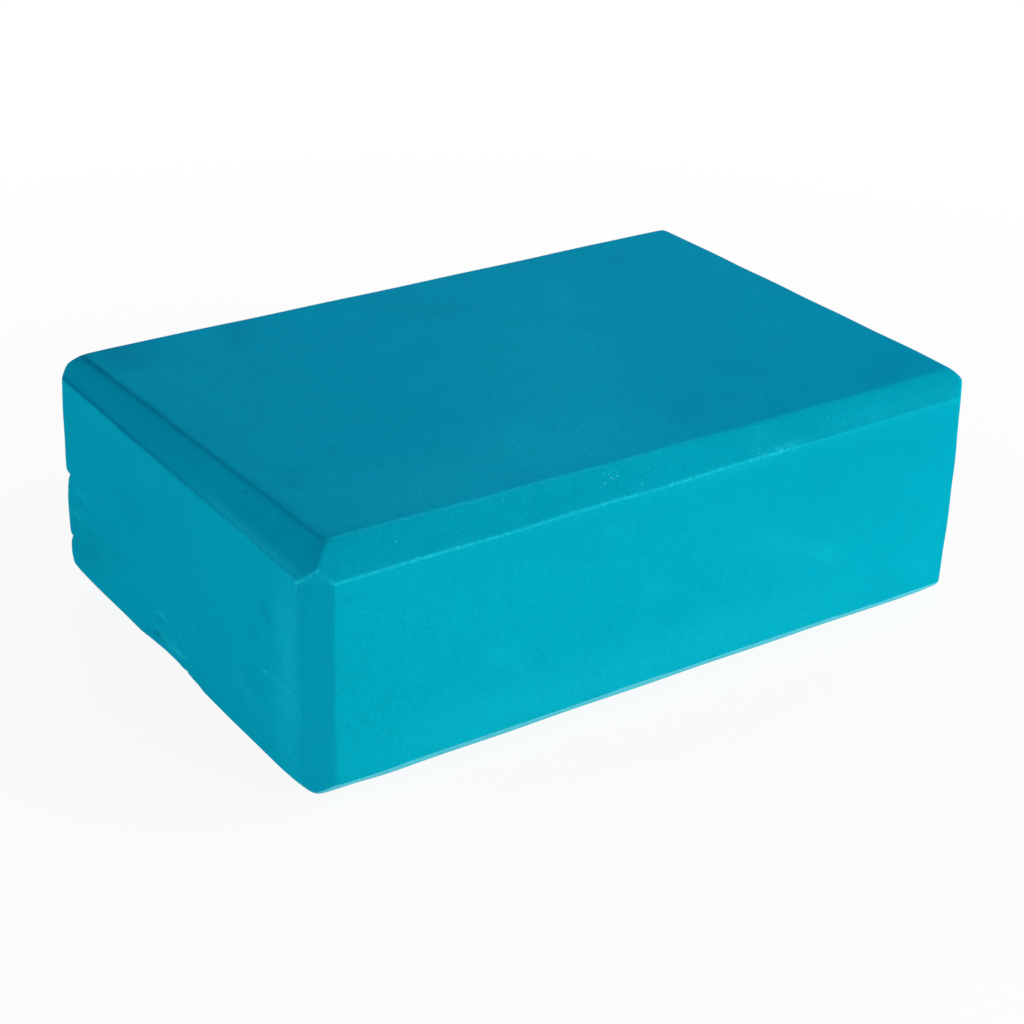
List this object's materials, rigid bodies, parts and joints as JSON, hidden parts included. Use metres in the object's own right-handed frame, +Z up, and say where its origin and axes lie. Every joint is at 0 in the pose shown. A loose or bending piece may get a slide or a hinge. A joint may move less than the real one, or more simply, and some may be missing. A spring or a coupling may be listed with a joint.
{
  "type": "yoga block",
  "caption": "Firm foam yoga block: a rectangular brick of bonded closed-cell foam plies with every edge bevelled, used flat, on its side or on end as a support for hands, back or hips.",
  "frame": {"origin": "middle of the base, on the surface that the block rests on", "axes": "+X along the length, +Y along the width, away from the long side that the picture shows, +Z up through the thickness"},
  "size_m": [0.2286, 0.1524, 0.0762],
  "materials": {
    "teal_foam": "matte"
  },
  "bodies": {
    "root": {"lower_foam_ply": "teal_foam", "upper_foam_ply": "teal_foam"}
  },
  "joints": []
}
